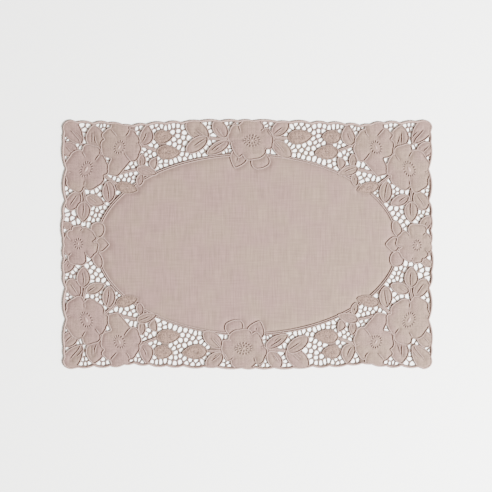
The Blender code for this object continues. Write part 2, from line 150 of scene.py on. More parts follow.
# Stems, as points along the middle, with one width
CORNER_STEMS = (
    ((131.0, 121.0), (120.0, 117.0), (109.0, 113.0)),
    ((176.0, 86.0), (165.0, 77.5), (156.0, 71.0)),
    ((199.0, 70.0), (197.0, 58.0), (195.0, 46.0)),
    ((153.0, 86.0), (142.0, 89.0), (131.0, 91.0)),
)
TOP_STEMS = (
    ((-23.0, 128.0), (-37.0, 127.5), (-50.0, 129.5)),
    ((31.0, 128.5), (41.0, 128.5), (51.0, 128.8)),
)
STEM_WIDTH = 3.0

# Flowers, as the heart's place and then the petals in their order round it, each as
# (from degree, to degree, reach, how far the notch after it lies from the heart).
CORNER_FLOWERS = (
    (
        (155.0, 118.0),
        (-43.0, 27.0, 22.7, 19.0),
        (27.0, 66.0, 26.0, 24.5),
        (66.0, 121.0, 31.5, 24.0),
        (121.0, 171.0, 26.8, 24.0),
        (171.0, 230.0, 27.3, 22.5),
        (262.0, 303.0, 36.5, 16.5),
    ),
    (
        (195.0, 91.0),
        (-9.0, 78.5, 26.0, 22.0),
        (78.5, 134.0, 31.0, 24.5),
        (134.0, 160.0, 27.0, 25.6),
        (160.0, 199.0, 27.5, 22.0),
        (199.0, 275.0, 26.5, 21.0),
        (275.0, 330.0, 31.0, 26.0),
        (330.0, 351.0, 27.0, 24.0),
    ),
)
TOP_FLOWERS = (
    (
        (5.0, 125.0),
        (44.0, 130.0, 26.0, 24.0),
        (130.0, 183.0, 30.0, 24.5),
        (183.0, 210.0, 25.5, 24.0),
        (210.0, 237.0, 26.0, 18.8),
        (237.0, 322.0, 23.5, 22.5),
        (322.0, 333.0, 21.5, 20.5),
        (333.0, 370.0, 26.8, 26.3),
        (370.0, 404.0, 26.0, 20.5),
    ),
)
SIDE_FLOWERS = (
    (
        (203.0, 0.0),
        (-47.0, 33.0, 20.5, 19.0),
        (33.0, 63.0, 21.5, 18.5),
        (63.0, 101.0, 23.5, 19.7),
        (101.0, 126.0, 22.6, 21.5),
        (126.0, 169.0, 22.6, 15.5),
        (169.0, 214.0, 24.0, 21.3),
        (214.0, 236.0, 22.8, 14.0),
        (240.0, 313.0, 25.8, 19.0),
    ),
)
PETAL_FLATNESS = 3.0  # higher makes the rim of a petal flatter
PETAL_POWER = 0.5  # 0.5 makes a full round petal, and 1 a slim one
PETAL_DENT = 1.3  # depth of the shallow dent in the middle of a petal's rim
DENT_SHARE = 0.25  # width of the dent, as a share of the petal's half width

# Veins of the leaves, as points from the tip's end towards the base
CORNER_VEINS = (
    ((213.5, 138.5), (208.5, 132.5), (203.8, 127.5), (201.0, 121.5)),
    ((206.5, 136.0), (202.0, 132.0), (198.6, 127.0)),
    ((187.0, 135.5), (186.8, 128.0), (187.0, 121.5)),
    ((184.2, 131.0), (183.8, 126.0), (181.5, 120.5)),
    ((121.4, 135.0), (123.0, 129.0), (126.6, 123.6)),
    ((219.6, 118.8), (215.8, 114.5), (211.5, 110.8)),
    ((212.6, 114.6), (210.2, 111.2)),
    ((170.0, 75.0), (168.0, 68.0), (166.8, 61.0), (166.6, 54.5)),
    ((213.6, 47.4), (209.4, 53.4), (205.2, 59.6)),
    ((197.9, 50.5), (197.1, 42.0), (198.4, 33.5)),
    ((192.4, 57.2), (188.0, 54.8), (183.2, 51.2)),
    ((130.8, 92.2), (124.0, 90.2), (117.0, 86.8)),
    ((128.2, 102.5), (128.0, 96.5)),
    ((129.6, 81.0), (130.8, 76.0)),
)
TOP_VEINS = (
    ((-62.5, 139.5), (-54.0, 132.5), (-49.0, 129.8)),
    ((-64.5, 136.2), (-56.5, 131.0)),
    ((-64.0, 118.5), (-57.0, 123.5), (-50.5, 127.5)),
    ((-37.4, 141.2), (-34.0, 135.6), (-29.5, 131.6)),
    ((-34.4, 139.0), (-31.4, 134.8)),
    ((-43.0, 113.2), (-36.5, 118.6), (-28.0, 123.4)),
    ((-38.5, 113.0), (-33.0, 117.2)),
    ((43.2, 141.4), (37.5, 137.0), (32.6, 132.8)),
    ((40.5, 136.6), (35.4, 133.4)),
    ((44.2, 112.6), (38.5, 118.8), (32.8, 124.8)),
    ((40.4, 114.0), (35.0, 119.6), (31.4, 123.2)),
    ((-12.0, 100.0), (-11.2, 104.6)),
)
SIDE_VEINS = (
    ((217.6, -27.5), (215.0, -23.0), (211.8, -20.0)),
    ((216.8, 22.8), (212.4, 19.4)),
)

# Cords between petals, as points from the rim inwards
CORNER_CORDS = (
    ((199.4, 112.2), (195.3, 105.2)),
    ((178.3, 108.6), (183.7, 101.3)),
    ((196.8, 70.5), (196.3, 77.0)),
    ((219.0, 88.0), (214.0, 86.8)),
    ((165.2, 139.6), (157.2, 130.4)),
    ((142.4, 138.5), (143.3, 134.0), (147.0, 130.3)),
    ((131.2, 121.8), (134.8, 121.2)),
    ((140.7, 100.6), (144.6, 104.6), (148.6, 110.5)),
)
TOP_CORDS = (
    ((-10.5, 143.4), (-8.2, 136.2)),
    ((20.0, 139.6), (16.3, 136.7)),
    ((24.3, 138.0), (26.3, 134.5), (29.0, 131.6)),
    ((-19.5, 123.7), (-16.0, 123.9)),
    ((23.6, 114.4), (19.8, 116.4)),
)
SIDE_CORDS = (
    ((194.7, -15.0), (195.3, -11.5), (196.3, -9.0)),
    ((217.4, 15.3), (218.6, 10.4), (214.0, 5.5)),
    ((216.0, -14.0), (212.5, -10.5)),
    ((199.0, 19.0), (201.3, 15.6)),
)

# Hearts, as (x, y, lean in degrees, half length, half width, rings of eyelets). A ring is
# (half length, half width, number of eyelets, phase as a share of their spacing).
CORNER_HEARTS = (
    (155.0, 117.5, 118.0, 3.7, 1.5, ((7.2, 5.6, 14, 0.0),)),
    (195.0, 91.0, 118.0, 4.3, 2.1, ((8.6, 6.0, 16, 0.0),)),
)
TOP_HEARTS = ((5.0, 125.5, 0.0, 1.8, 1.0, ((4.4, 3.2, 8, 0.0), (8.8, 6.4, 15, 0.5))),)
SIDE_HEARTS = ((204.5, 1.0, 90.0, 2.2, 1.1, ((5.6, 4.4, 11, 0.0),)),)
# Each eyelet is a small pit, and painted shade makes its colour nearly black
EYELET_RADIUS = 0.66
EYELET_ENDS = (0.93, 1.08)  # an eyelet runs outwards, between these shares of its ring
EYELET_DEPTH = 0.9

# The net
NET_PITCH = 7.0  # from the middle of one gap to the next
BAR_WIDTH = 1.25
GAP_TO_MOTIF = 0.65  # cloth left between a gap and the outline of a motif
BAR_GROWTH = 0.03  # the thread worked round a gap has made its bars wider by this much
EDGE_BAND = 3.2  # closed cloth along the scalloped edge
SMALLEST_GAP = 1.8  # smaller gaps are left closed
FIRST_SPACING = 0.8  # least distance between the first middles, as a share of the pitch
RELAX_STEPS = 12
NET_GRID = 0.6
OUTLINE_GRID = 0.4
RAY_STEPS = 40
RAY_TOUCH = 0.05
LEAST_REACH = 0.1
POINTS_AT_ONCE = 4000
ROUNDING = 9.0  # higher leaves the corners of a gap sharper
SOFT_ROUNDING = 3.6  # the same, once the thread worked round a gap has filled its corners
NET_SEED = 5
GAP_DIRECTIONS = 24
SMALL_GAP = 3.6  # smaller gaps are drawn with half the points

# How many points draw each shape
LEAF_STEPS = 14
PETAL_STEPS = 12
OVAL_STEPS = 240
EDGE_STEPS = (10, 16)  # for each scallop, and for each round corner
ROOM_EDGE_STEPS = (3, 5)  # plainer, where only the net is placed by it

# Where the cords lie
RING_OFFSET = 1.05  # from the middle of the double cord to each of its cords
STEM_OFFSET = 0.8  # from the middle of a stem to each of its cords
STITCHED_VEIN_SPAN = (0.42, 0.56)  # from and to, as shares of the leaf's length
EDGE_CORD_HALF = 1.35  # half the width of the worked edge

# Heights above the table
NET_TOP = 1.0
PETAL_TOP = 1.35
MIDDLE_TOP = 1.25
WALL_MIDDLE = 0.5  # where a bar, and the mat's edge, is widest
BAR_SHOULDER = 0.88
BAR_ROUNDING = 0.26  # how far the shoulder of a bar lies in from its widest place
BACK_ROUNDING = 0.2
PETAL_DOME = 0.4
DOME_REACH = 4.0
VALLEY_DEPTH = 0.42  # the dip on each side of a cord
# The dip's place and width also set where painted shade darkens the cloth beside each cord
VALLEY_PLACE = 1.25
VALLEY_WIDTH = 0.6
WAVE_HEIGHT = 0.12  # soft unevenness of hand-worked cloth
WAVE_LENGTH = 22.0

# Spacing of the points of the cloth's mesh
CORD_SPACING = 1.3
SIDE_LINES = (-2.2, -1.25, 0.0, 1.25, 2.2)  # rows of points along each cord, by offset
LEAST_SPACING = 0.55
FILL_SPACING = 2.6
FILL_CLEARANCE = 1.5
MIDDLE_SPACING = 5.0
MIDDLE_CLEARANCE = 2.6
HEART_SPACING = 0.7
HEART_REACH = 10.0
WELD = 1e-5


def leaf_middle(leaf, share):
    """Points of a leaf's middle line, at shares of the way from its base to its tip."""
    base_x, base_y, tip_x, tip_y, _, bend = leaf[:6]
    along = np.array((tip_x - base_x, tip_y - base_y))
    across = np.array((-along[1], along[0])) / np.linalg.norm(along)
    bow = bend * 4 * share * (1 - share)
    return (base_x, base_y) + share[:, None] * along + bow[:, None] * across, across


def leaf_outline(leaf):
    """Closed outline of a leaf, from its base along one side to its tip and back."""
    width, _, base_power, tip_power = leaf[4:8]
    widest = base_power / (base_power + tip_power)
    share = np.arange(1, LEAF_STEPS) / LEAF_STEPS
    middle, across = leaf_middle(leaf, share)
    half = width / 2 * (share / widest) ** base_power * ((1 - share) / (1 - widest)) ** tip_power
    left = middle + half[:, None] * across
    right = middle - half[:, None] * across
    return np.vstack((leaf[0:2], left, leaf[2:4], right[::-1]))


def flower_outline(flower):
    """Closed outline of a flower: each petal's rim, with a notch after it."""
    heart, *petals = flower
    rim = []
    for index, (start, end, reach, notch) in enumerate(petals):
        notch_before = petals[index - 1][3]
        for step in range(1, PETAL_STEPS + 1):
            share = step / PETAL_STEPS
            turn = 2 * share - 1
            foot = notch_before + (notch - notch_before) * share
            fullness = (1 - abs(turn) ** PETAL_FLATNESS) ** PETAL_POWER
            dent = PETAL_DENT * math.exp(-((turn / DENT_SHARE) ** 2))
            radius = foot + (reach - foot) * fullness - dent
            angle = math.radians(start + (end - start) * share)
            rim.append((radius * math.cos(angle), radius * math.sin(angle)))
    return np.array(heart) + np.array(rim)


def beside(line, offset, closed=False):
    """A line alongside another, to its left where the offset is positive."""
    line = np.asarray(line, float)
    if closed:
        slope = np.roll(line, -1, axis=0) - np.roll(line, 1, axis=0)
    else:
        slope = np.gradient(line, axis=0)
    slope = slope / np.linalg.norm(slope, axis=1)[:, None]
    return line + offset * np.column_stack((-slope[:, 1], slope[:, 0]))


def stem_outline(points):
    """Closed outline of a stem of even width."""
    half = STEM_WIDTH / 2
    return np.vstack((beside(points, half), beside(points, -half)[::-1]))


def oval_outline(outwards=0.0):
    """The middle of the double cord round the oval, or a line alongside it."""
    turn = np.linspace(0, 2 * np.pi, OVAL_STEPS, endpoint=False)
    length, width = OVAL_HALF_LENGTH + outwards, OVAL_HALF_WIDTH + outwards
    return np.column_stack((length * np.cos(turn), width * np.sin(turn)))


def scallops(edge, steps):
    """Points along one side, where each stretch between two dips bulges out."""
    points = []
    for (start, low, bulge), (end, high, _) in zip(edge, edge[1:]):
        for step in range(steps):
            share = step / steps
            out = low + (high - low) * share + bulge * 4 * share * (1 - share)
            points.append((start + (end - start) * share, out))
    points.append(edge[-1][:2])
    return points


def corner_arc(sign_x, steps):
    """Round upper corner, from the side towards the top."""
    arc = []
    for step in range(steps + 1):
        start, end = CORNER_TURN
        angle = math.radians(start + (end - start) * step / steps)
        out_x = CORNER_CENTRE[0] + CORNER_REACH[0] * math.cos(angle)
        out_y = CORNER_CENTRE[1] + CORNER_REACH[1] * math.sin(angle)
        arc.append((sign_x * out_x, out_y))
    return arc


def mat_outline(steps):
    """Scalloped outline of the mat. Its lower half is its upper half turned half round."""
    along, round_corner = steps
    left = [(-out, place) for place, out in scallops(LEFT_EDGE, along)]
    top = scallops(TOP_EDGE, along)
    half = left + corner_arc(-1, round_corner) + top + corner_arc(1, round_corner)[::-1]
    return np.vstack((half, -np.array(half)))[::-1]


def placed(points, signs):
    return np.asarray(points) * np.array(signs)


def motifs():
    """Every motif from the lowest layer to the highest, as (kind, outline, signs, row)."""
    groups = (
        (CORNER_PLACES, CORNER_STEMS, CORNER_LEAVES, CORNER_FLOWERS),
        (TOP_PLACES, TOP_STEMS, TOP_LEAVES, TOP_FLOWERS),
        (SIDE_PLACES, (), SIDE_LEAVES, SIDE_FLOWERS),
    )
    drawn = (("stem", stem_outline), ("leaf", leaf_outline), ("flower", flower_outline))
    made = []
    for places, *rows_of_kinds in groups:
        for signs in places:
            for (kind, outline_of), rows in zip(drawn, rows_of_kinds):
                made += [(kind, placed(outline_of(row), signs), signs, row) for row in rows]
    return made


def inside(points, outline):
    """Which of the points lie inside a closed outline."""
    after = np.roll(outline, -1, axis=0)
    sloped = outline[:, 1] != after[:, 1]
    x1, y1 = outline[sloped].T
    x2, y2 = after[sloped].T
    found = np.zeros(len(points), bool)
    for first in range(0, len(points), POINTS_AT_ONCE):
        part = slice(first, first + POINTS_AT_ONCE)
        x, y = points[part, :1], points[part, 1:]
        crossed = (y1 > y) != (y2 > y)
        left_of = x < x1 + (y - y1) * (x2 - x1) / (y2 - y1)
        found[part] = (crossed & left_of).sum(1) % 2 == 1
    return found


def inside_any(points, outlines):
    """Which of the points lie inside one or more of the outlines."""
    found = np.zeros(len(points), bool)
    for outline in outlines:
        low, high = outline.min(0), outline.max(0)
        near = np.flatnonzero(((points >= low) & (points <= high)).all(1) & ~found)
        found[near] = inside(points[near], outline)
    return found


def close_points(outline):
    """Closely spaced points all along a closed outline."""
    found = []
    for start, end in zip(outline, np.roll(outline, -1, axis=0)):
        count = max(1, math.ceil(np.linalg.norm(end - start) / OUTLINE_GRID))
        found += [start + (end - start) * part / count for part in range(count)]
    return np.array(found)


def way_along(line):
    """How far along a line each of its points is."""
    return np.append(0, np.cumsum(np.linalg.norm(np.diff(line, axis=0), axis=1)))


def spaced(line, gap, closed=False):
    """Points a gap apart along a line."""
    line = np.asarray(line, float)
    if closed:
        line = np.vstack((line, line[:1]))
    lengths = way_along(line)
    count = max(2, round(lengths[-1] / gap) + 1)
    along = np.linspace(0, lengths[-1], count)
    found = np.column_stack([np.interp(along, lengths, line[:, axis]) for axis in (0, 1)])
    return found[:-1] if closed else found


def softened(line, closed=False):
    """The line with its sharp turns rounded off a little."""
    before = np.roll(line, 1, axis=0)
    after = np.roll(line, -1, axis=0)
    soft = (before + 2 * line + after) / 4
    if not closed:
        soft[0], soft[-1] = line[0], line[-1]
    return soft


def tree_of(points):
    tree = KDTree(len(points))
    for index, (x, y) in enumerate(points):
        tree.insert((x, y, 0), index)
    tree.balance()
    return tree


class NetRoom:
    """The room between the motifs, where the net may have gaps."""

    def __init__(self, edge, outlines):
        self.solid = outlines + [oval_outline(RING_HALF_WIDTH)]
        self.edge = edge
        self.near_solid = tree_of(np.vstack([close_points(one) for one in self.solid]))
        self.near_edge = tree_of(close_points(edge))

    def clearance(self, x, y):
        """How far a point in the room is from where the cloth has to begin."""
        to_solid = self.near_solid.find((x, y, 0))[2] - GAP_TO_MOTIF
        to_edge = self.near_edge.find((x, y, 0))[2] - EDGE_BAND
        return min(to_solid, to_edge)

    def cells(self):
        """Grid points of the room's left half, the other half being the same turned."""
        left, low = self.edge.min(0)
        across = np.arange(left, 0, NET_GRID)
        up = np.arange(low, -low, NET_GRID)
        grid = np.stack(np.meshgrid(across, up), axis=-1).reshape(-1, 2)
        grid = grid[inside(grid, self.edge)]
        grid = grid[~inside_any(grid, self.solid)]
        return np.array([cell for cell in grid if self.clearance(*cell) > 0])


def net_middles(room):
    """Middles of the gaps: scattered a pitch apart, then evened out."""
    cells = room.cells()
    order = np.random.default_rng(NET_SEED).permutation(len(cells))
    middles = []
    taken = np.zeros(len(cells), bool)
    for index in order:
        if not taken[index]:
            middles.append(cells[index])
            away = np.linalg.norm(cells - cells[index], axis=1)
            taken |= away < FIRST_SPACING * NET_PITCH
    middles = np.array(middles)
    for _ in range(RELAX_STEPS):
        tree = tree_of(middles)
        owner = np.array([tree.find((x, y, 0))[1] for x, y in cells])
        count = np.bincount(owner, minlength=len(middles))
        sums = [np.bincount(owner, cells[:, axis], len(middles)) for axis in (0, 1)]
        used = count > 0
        middles = np.column_stack(sums)[used] / count[used, None]
    return middles


def reach_towards(room, middle, direction):
    """How far a ray runs from the middle of a gap before it meets cloth."""
    travelled = 0.0
    for _ in range(RAY_STEPS):
        x, y = middle + travelled * direction
        room_left = room.clearance(x, y)
        if room_left < RAY_TOUCH or travelled > NET_PITCH:
            break
        travelled += room_left
    return travelled


def gap_outlines(room, middle, others):
    """Outline of one gap, held off by its neighbours' bars and the motifs, and a rounder one."""
    away = others - middle
    far = np.linalg.norm(away, axis=1)
    near = (far > 0) & (far < 3 * NET_PITCH)
    away, far = away[near], far[near]
    sharp, soft = [], []
    for turn in range(GAP_DIRECTIONS):
        angle = 2 * math.pi * turn / GAP_DIRECTIONS
        direction = np.array((math.cos(angle), math.sin(angle)))
        facing = away @ direction / far
        ahead = facing > 0
        to_bars = (far[ahead] - BAR_WIDTH) / 2 / facing[ahead]
        limits = np.append(to_bars, reach_towards(room, middle, direction))
        limits = np.maximum(limits, LEAST_REACH)
        for outline, rounding in ((sharp, ROUNDING), (soft, SOFT_ROUNDING)):
            radius = (limits**-rounding).sum() ** (-1 / rounding)
            outline.append(middle + radius * direction)
    return np.array(sharp), np.array(soft)


def narrowest(outline):
    """The least width of a gap, across the middle of its outline."""
    return np.linalg.norm(outline - np.roll(outline, len(outline) // 2, axis=0), axis=1).min()


def net_gaps(room):
    """Outlines of all the gaps of the net, on both halves of the mat."""
    middles = net_middles(room)
    gaps = []
    for middle in middles:
        sharp, gap = gap_outlines(room, middle, middles)
        across = narrowest(sharp)
        if across < SMALLEST_GAP:
            continue
        step = 2 if across < SMALL_GAP else 1
        gap = widened(gap, -BAR_GROWTH)[::step]
        gaps += [gap, -gap]
    return gaps


def widened(gap, by):
    """A gap's outline, moved out from its middle."""
    middle = gap.mean(0)
    away = gap - middle
    return gap + by * away / np.linalg.norm(away, axis=1)[:, None]


def in_sight(line, above, edge_inset, closed=False):
    """The stretches of a cord that no higher motif hides and that end short of the edge."""
    points = softened(softened(spaced(line, CORD_SPACING, closed), closed), closed)
    hidden = inside_any(points, above) | ~inside(points, edge_inset)
    if closed and not hidden.any():
        return [(points, True)]
    if closed:
        first = int(np.argmax(hidden))
        points, hidden = np.roll(points, -first, axis=0), np.roll(hidden, -first)
    runs = [[]]
    for point, out_of_sight in zip(points, hidden):
        if out_of_sight:
            runs.append([])
        else:
            runs[-1].append(point)
    return [(np.array(run), False) for run in runs if len(run) > 2]


def cord_lines(layers, edge_inset):
    """Every cord that shows, by the piece that it belongs to, as (points, closed)."""
    outlines = [outline for _, outline, _, _ in layers]
    cords = {"ring": [], "stem": [], "leaf": [], "rim": [], "vein": [], "flower": [], "fold": []}
    for offset in (-RING_OFFSET, RING_OFFSET):
        cords["ring"] += in_sight(oval_outline(offset), outlines, edge_inset, closed=True)
    for index, (kind, outline, signs, row) in enumerate(layers):
        above = outlines[index + 1 :]
        if kind == "stem":
            for offset in (-STEM_OFFSET, STEM_OFFSET):
                cords["stem"] += in_sight(placed(beside(row, offset), signs), above, edge_inset)
            continue
        stitched = kind == "leaf" and row[8] == "stitched"
        cords["rim" if stitched else kind] += in_sight(outline, above, edge_inset, closed=True)
        if stitched:
            vein = leaf_middle(row, np.linspace(*STITCHED_VEIN_SPAN, 4))[0]
            cords["vein"] += in_sight(placed(vein, signs), above, edge_inset)
    flowers = [outline for kind, outline, _, _ in layers if kind == "flower"]
    groups = (
        (CORNER_PLACES, CORNER_CORDS, CORNER_VEINS),
        (TOP_PLACES, TOP_CORDS, TOP_VEINS),
        (SIDE_PLACES, SIDE_CORDS, SIDE_VEINS),
    )
    for places, folds, veins in groups:
        for signs in places:
            for fold in folds:
                cords["fold"] += in_sight(placed(fold, signs), [], edge_inset)
            for vein in veins:
                cords["vein"] += in_sight(placed(vein, signs), flowers, edge_inset)
    return cords


class Thinner:
    """Keeps points that have room, by a grid of small cells."""

    def __init__(self, cell):
        self.cell = cell
        self.cells = {}

    def has_room(self, point, gap):
        column, row = int(point[0] // self.cell), int(point[1] // self.cell)
        span = int(gap // self.cell) + 1
        for near_column in range(column - span, column + span + 1):
            for near_row in range(row - span, row + span + 1):
                for x, y in self.cells.get((near_column, near_row), ()):
                    if (x - point[0]) ** 2 + (y - point[1]) ** 2 < gap * gap:
                        return False
        return True

    def keep(self, point):
        place = (int(point[0] // self.cell), int(point[1] // self.cell))
        self.cells.setdefault(place, []).append((point[0], point[1]))


def honeycomb(low, high, gap):
    """Points of an even triangular grid over a box."""
    rows = np.arange(low[1], high[1], gap * math.sqrt(3) / 2)
    found = []
    for index, y in enumerate(rows):
        across = np.arange(low[0] + (index % 2) * gap / 2, high[0], gap)
        found.append(np.column_stack((across, np.full(len(across), y))))
    return np.vstack(found)


def heart_rows():
    """The hearts of all the flowers, as (signs, row)."""
    groups = ((CORNER_PLACES, CORNER_HEARTS), (TOP_PLACES, TOP_HEARTS), (SIDE_PLACES, SIDE_HEARTS))
    return [(signs, row) for places, rows in groups for signs in places for row in rows]


def heart_ring(signs, row, ring, grow):
    """Places round one ring of a heart, with the direction outwards at each."""
    half_length, half_width, count, phase = ring
    lean = math.radians(row[2])
    places = []
    for step in range(count):
        angle = 2 * math.pi * (step + phase) / count
        along = grow * half_length * math.cos(angle)
        across = grow * half_width * math.sin(angle)
        x = along * math.cos(lean) - across * math.sin(lean)
        y = along * math.sin(lean) + across * math.cos(lean)
        out = placed((x, y), signs)
        places.append((placed(row[:2], signs) + out, math.atan2(out[1], out[0])))
    return places


edge = mat_outline(EDGE_STEPS)
layers = motifs()
motif_outlines = [outline for _, outline, _, _ in layers]
gaps = net_gaps(NetRoom(mat_outline(ROOM_EDGE_STEPS), motif_outlines))
edge_line = spaced(edge, CORD_SPACING, closed=True)
edge_inset = beside(edge_line, 2 * EDGE_CORD_HALF, closed=True)
cords = cord_lines(layers, edge_inset)
eyelets = np.array(
    [
        place
        for signs, row in heart_rows()
        for ring in row[5]
        for end in EYELET_ENDS
        for place, _ in heart_ring(signs, row, ring, end)
    ]
)


def cloth_points():
    """Loops and loose points of the cloth's top, in the plan."""
    loops = [beside(edge_line, BAR_ROUNDING, closed=True)]
    loops += [widened(gap, BAR_ROUNDING) for gap in gaps]
    kept = Thinner(LEAST_SPACING)
    for loop in loops:
        for point in loop:
            kept.keep(point)
    walls = [widened(gap, BAR_ROUNDING / 2) for gap in gaps]
    wanted = []
    for lines in cords.values():
        for line, closed in lines:
            wanted += [(beside(line, offset, closed), LEAST_SPACING) for offset in SIDE_LINES]
    for signs, row in heart_rows():
        heart = placed(row[:2], signs)
        near = honeycomb(heart - HEART_REACH, heart + HEART_REACH, HEART_SPACING)
        near = near[np.linalg.norm(near - heart, axis=1) < HEART_REACH]
        wanted.append((near, LEAST_SPACING))
    low, high = edge.min(0), edge.max(0)
    fill = honeycomb(low, high, FILL_SPACING)
    in_middle = inside(fill, oval_outline())
    wanted.append((fill[~in_middle], FILL_CLEARANCE))
    middle = honeycomb(low, high, MIDDLE_SPACING)
    wanted.append((middle[inside(middle, oval_outline())], MIDDLE_CLEARANCE))
    points = np.vstack([some for some, _ in wanted])
    clearances = np.repeat([gap for _, gap in wanted], [len(some) for some, _ in wanted])
    usable = inside(points, loops[0]) & ~inside_any(points, walls)
    loose = []
    for point, gap in zip(points[usable], clearances[usable]):
        if kept.has_room(point, gap):
            kept.keep(point)
            loose.append(point)
    return loops, np.array(loose)


def distances(points, others):
    """How far each point is from the nearest of the others."""
    tree = tree_of(others)
    return np.array([tree.find((x, y, 0))[2] for x, y in points])


def unevenness(points, length):
    """Soft noise at each point, in waves of about the given length."""
    return np.array([noise.noise(Vector((x, y, 0)) / length) for x, y in points])


def top_heights(points):
    """Height of the cloth at each point, with the marks its colours depend on, painted shade among them.
    """
    raised = [line for lines in cords.values() for line, _ in lines]
    to_cord = distances(points, np.vstack([spaced(line, OUTLINE_GRID) for line in raised]))
    to_eyelet = distances(points, eyelets)
    in_motif = inside_any(points, motif_outlines)
    in_middle = inside(points, oval_outline()) & ~in_motif
    in_net = ~in_motif & ~in_middle
    height = np.where(in_motif, PETAL_TOP, np.where(in_middle, MIDDLE_TOP, NET_TOP))
    dome = PETAL_DOME * (1 - np.exp(-((to_cord / DOME_REACH) ** 2)))
    height = height + np.where(in_net, 0, dome)
    # The dip beside each cord, which also darkens the colour there as painted shade
    valley = np.exp(-(((to_cord - VALLEY_PLACE) / VALLEY_WIDTH) ** 2))
    height = height - np.where(in_net, VALLEY_DEPTH / 2, VALLEY_DEPTH) * valley
    # The eyelets' pits, which also take painted shade in the colour
    eyelet = np.exp(-((to_eyelet / EYELET_RADIUS) ** 2))
    height = height - EYELET_DEPTH * eyelet
    height = height + WAVE_HEIGHT * unevenness(points, WAVE_LENGTH)
    stitched = [outline for kind, outline, _, row in layers if kind == "leaf" and row[8] == "stitched"]
    # The valley, eyelet and net marks carry painted shade; net darkens the low bars between the gaps
    marks = {
        "valley": valley,
        "eyelet": eyelet,
        "net": in_net.astype(float),
        "motif": in_motif.astype(float),
        "stitched": inside_any(points, stitched).astype(float),
    }
    return height, marks


def triangles_inside(points, loops):
    """Points and triangles of the stretch inside the first loop and outside the others."""
    lines = []
    first = 0
    for loop in loops:
        lines += [(first + i, first + (i + 1) % len(loop)) for i in range(len(loop))]
        first += len(loop)
    plan = [tuple(point) for point in points]
    flat, _, faces, sources, _, _ = delaunay_2d_cdt(plan, lines, [], 0, WELD)
    flat = np.array([tuple(point) for point in flat])
    faces = np.array(faces)
    middles = flat[faces].mean(1)
    kept = inside(middles, loops[0]) & ~inside_any(middles, loops[1:])
    place_of = np.zeros(len(points), int)
    for index, source in enumerate(sources):
        place_of[source] = index
    return flat, faces[kept], place_of


def cloth_mesh():
    """The whole cloth: its top, its back, and the walls round its edge and its gaps."""
    loops, loose = cloth_points()
    top, top_faces, top_place = triangles_inside(np.vstack([*loops, loose]), loops)
    heights, marks = top_heights(top)
    on_rim = top_place[: sum(map(len, loops))]
    heights[on_rim] = BAR_SHOULDER
    waists = [edge_line, *gaps]
    back_loops = [beside(edge_line, BACK_ROUNDING, closed=True)]
    back_loops += [widened(gap, BACK_ROUNDING) for gap in gaps]
    back, back_faces, back_place = triangles_inside(np.vstack(back_loops), back_loops)
    waist = np.vstack(waists)
    waist_first = len(top)
    back_first = waist_first + len(waist)
    points = np.vstack(
        (
            np.column_stack((top, heights)),
            np.column_stack((waist, np.full(len(waist), WALL_MIDDLE))),
            np.column_stack((back, np.zeros(len(back)))),
        )
    )
    faces = [tuple(face) for face in top_faces]
    faces += [tuple(face[::-1] + back_first) for face in back_faces]
    first = 0
    for index, loop in enumerate(waists):
        for step in range(len(loop)):
            here, after = first + step, first + (step + 1) % len(loop)
            upper = (top_place[here], top_place[after])
            middle = (waist_first + here, waist_first + after)
            lower = (back_first + back_place[here], back_first + back_place[after])
            faces.append((upper[0], middle[0], middle[1], upper[1]))
            faces.append((middle[0], lower[0], lower[1], middle[1]))
        first += len(loop)
    # The walls round the gaps and the mat's edge, and the back, all take the net's painted shade
    below = np.ones(len(points) - len(top))
    marks = {name: np.append(mark, below * (name == "net")) for name, mark in marks.items()}
    plan_area = np.abs(np.cross(*np.diff(top[top_faces], axis=1).transpose(1, 0, 2))).sum() / 2
    return points, faces, marks, plan_area


def new_piece(name, points, faces, material):
    """A smooth mesh object from points in millimetres, with its faces pointing outwards."""
    data = bpy.data.meshes.new(name)
    data.from_pydata((np.asarray(points) * MM).tolist(), [], [[int(i) for i in face] for face in faces])
    data.validate()
    piece = bpy.data.objects.new(name, data)
    bpy.context.scene.collection.objects.link(piece)
    bpy.context.view_layer.objects.active = piece
    piece.select_set(True)
    bpy.ops.object.mode_set(mode="EDIT")
    bpy.ops.mesh.select_all(action="SELECT")
    bpy.ops.mesh.normals_make_consistent(inside=False)
    bpy.ops.object.mode_set(mode="OBJECT")
    bpy.ops.object.shade_smooth()
    piece.select_set(False)
    data.materials.append(material)
    return piece


def shader_of(name, **settings):
    """A new material and its shader, with each setting made on the socket of that name."""
    material = bpy.data.materials.new(name)
    material.use_nodes = True
    shader = material.node_tree.nodes["Principled BSDF"]
    for socket, value in settings.items():
        shader.inputs[socket.replace("_", " ")].default_value = value
    return material, shader


def give(material, target, entry, value):
    """Gives a socket its value, or the output of a node that feeds it, as (node, output)."""
    if isinstance(value, tuple) and isinstance(value[0], bpy.types.Node):
        material.node_tree.links.new(value[0].outputs[value[1]], target.inputs[entry])
    else:
        target.inputs[entry].default_value = value


def node(material, kind, *values, **settings):
    """Adds a node, with values for its first sockets. Settings in capitals go to the sockets
    of those names, where _ stands for a space."""
    made = material.node_tree.nodes.new("ShaderNode" + kind)
    for name, value in settings.items():
        if name[0].isupper():
            give(material, made, name.replace("_", " "), value)
        else:
            setattr(made, name, value)
    for entry, value in enumerate(values):
        give(material, made, entry, value)
    return made


def mark_of(material, name):
    """A number that the mesh holds for each of its points."""
    return node(material, "Attribute", attribute_name=name), "Fac"


def ranged(material, number, span, new_span=(0.0, 1.0)):
    """A number brought from one span to another, and held within it."""
    return node(material, "MapRange", number, *span, *new_span), "Result"


MIX_COLOURS = (6, 7)  # sockets of the two colours that a Mix node mixes
MIXED_COLOUR = 2


